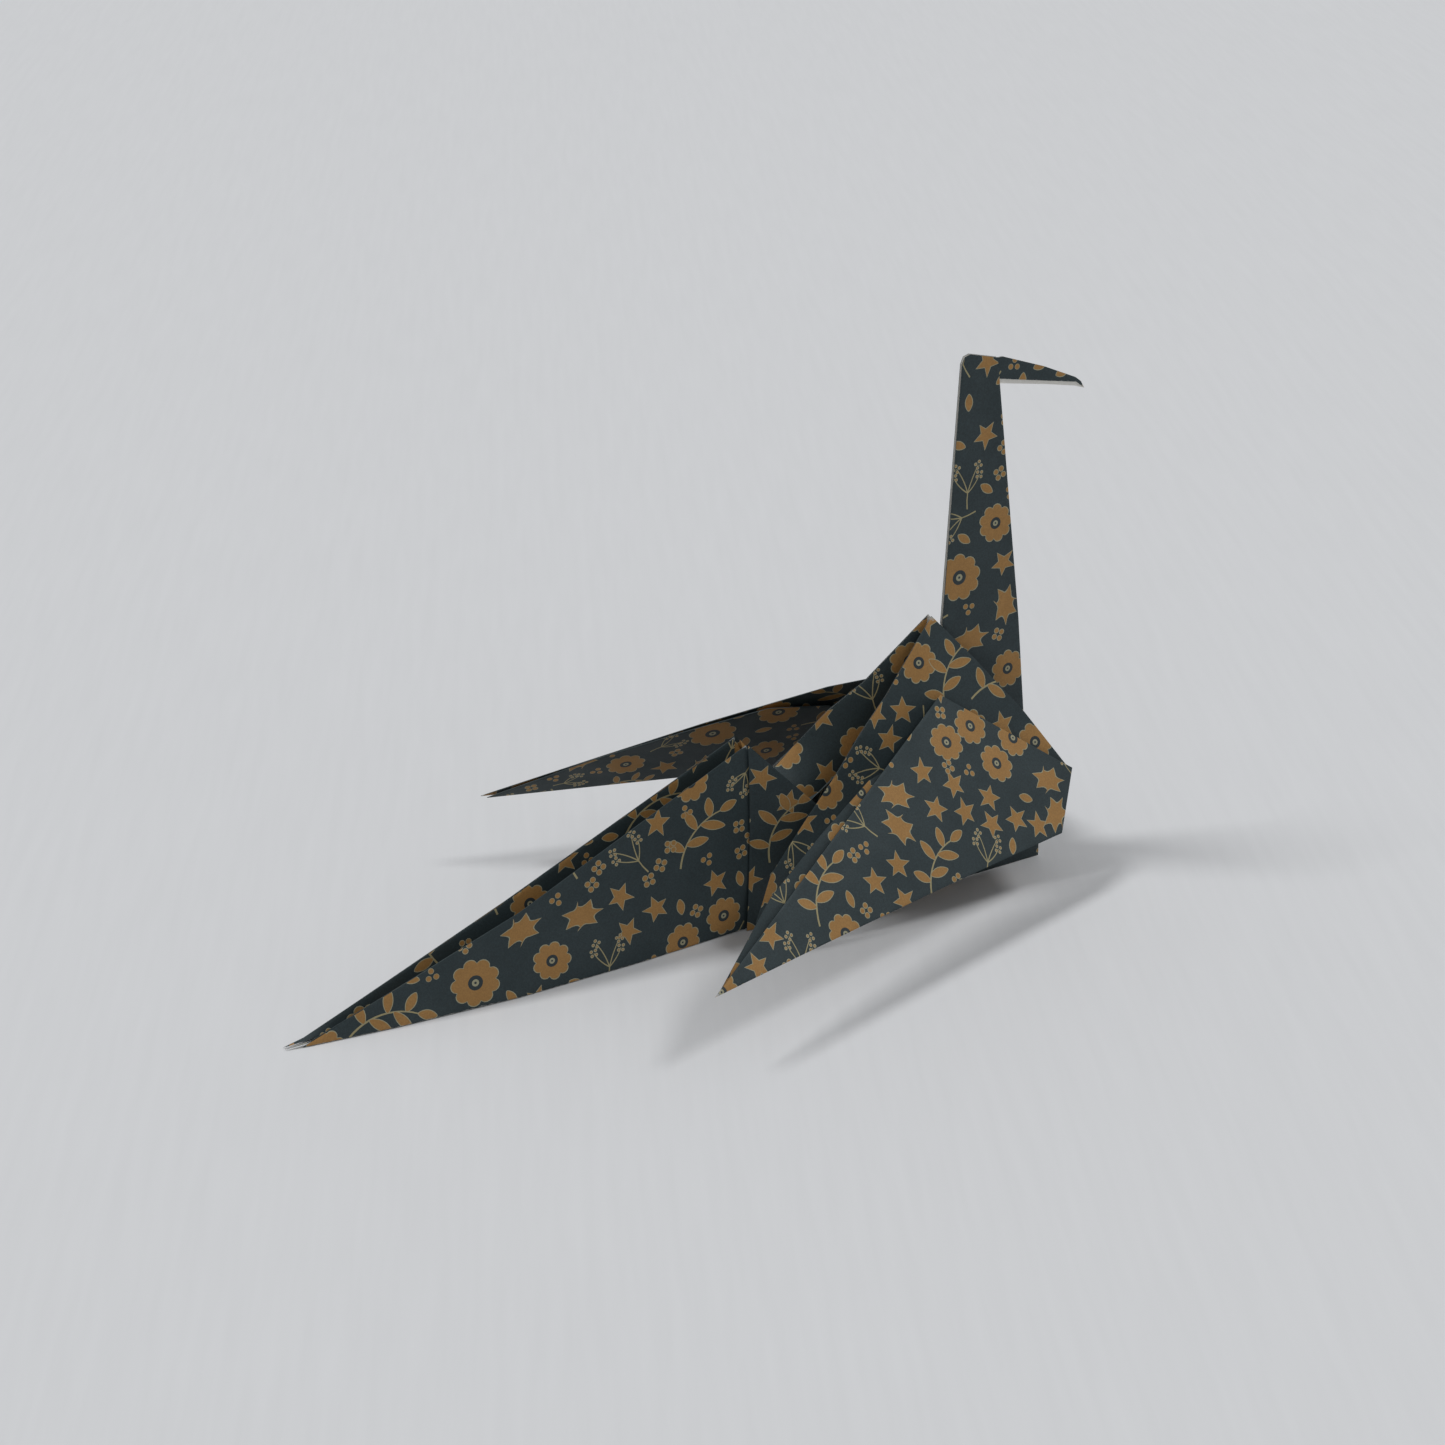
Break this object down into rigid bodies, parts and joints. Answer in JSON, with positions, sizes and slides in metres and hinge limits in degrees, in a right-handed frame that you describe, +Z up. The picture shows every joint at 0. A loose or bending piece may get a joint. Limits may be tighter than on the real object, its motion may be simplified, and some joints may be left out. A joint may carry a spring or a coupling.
{
  "type": "origami crane",
  "caption": "Folded paper crane with a wide swept tail, raised hump, swept-back wings that lift, and a tall neck whose reverse-folded head nods.",
  "frame": {"origin": "centre of the crane's length and span, on the surface it stands on", "axes": "+X towards the beak, +Y towards the bird's left wing, +Z up"},
  "size_m": [0.1367, 0.0762, 0.0858],
  "materials": {
    "printed_paper": "matte"
  },
  "bodies": {
    "body": {"right_foot_rear": "printed_paper", "right_foot_front": "printed_paper", "left_foot_rear": "printed_paper", "left_foot_front": "printed_paper", "rear_gusset_right": "printed_paper", "rear_gusset_left": "printed_paper", "front_gusset_right": "printed_paper", "front_gusset_left": "printed_paper", "right_flank": "printed_paper", "left_flank": "printed_paper", "right_pleat": "printed_paper", "left_pleat": "printed_paper"},
    "tail": {"tail_right_outer": "printed_paper", "tail_right_inner": "printed_paper", "tail_left_inner": "printed_paper", "tail_left_outer": "printed_paper"},
    "right_wing": {"right_wing_front": "printed_paper", "right_wing_rear": "printed_paper", "right_wing_lining": "printed_paper"},
    "left_wing": {"left_wing_front": "printed_paper", "left_wing_rear": "printed_paper", "left_wing_lining": "printed_paper"},
    "neck": {"neck_right_outer": "printed_paper", "neck_right_inner": "printed_paper", "neck_left_inner": "printed_paper", "neck_left_outer": "printed_paper"},
    "head": {"head_right": "printed_paper", "head_left": "printed_paper"}
  },
  "joints": [
    {"name": "tail_lift", "type": "hinge", "parent": "body", "child": "tail", "pos_m": [0.0064, 0, 0.031], "axis": [0, 1, 0], "range_deg": [0, 25]},
    {"name": "right_wing_flap", "type": "hinge", "parent": "body", "child": "right_wing", "pos_m": [0.039, -0.0054, 0.0332], "axis": [-0.7944, 0.2041, 0.5721], "range_deg": [0, 30]},
    {"name": "left_wing_flap", "type": "hinge", "parent": "body", "child": "left_wing", "pos_m": [0.039, 0.0054, 0.0332], "axis": [0.7944, 0.2041, -0.5721], "range_deg": [0, 30]},
    {"name": "neck_swing", "type": "hinge", "parent": "body", "child": "neck", "pos_m": [0.052, 0, 0.02], "axis": [0, 1, 0], "range_deg": [-1, 15]},
    {"name": "head_nod", "type": "hinge", "parent": "neck", "child": "head", "pos_m": [0.0495, 0, 0.083], "axis": [0, -1, 0], "range_deg": [-4, 20]}
  ]
}
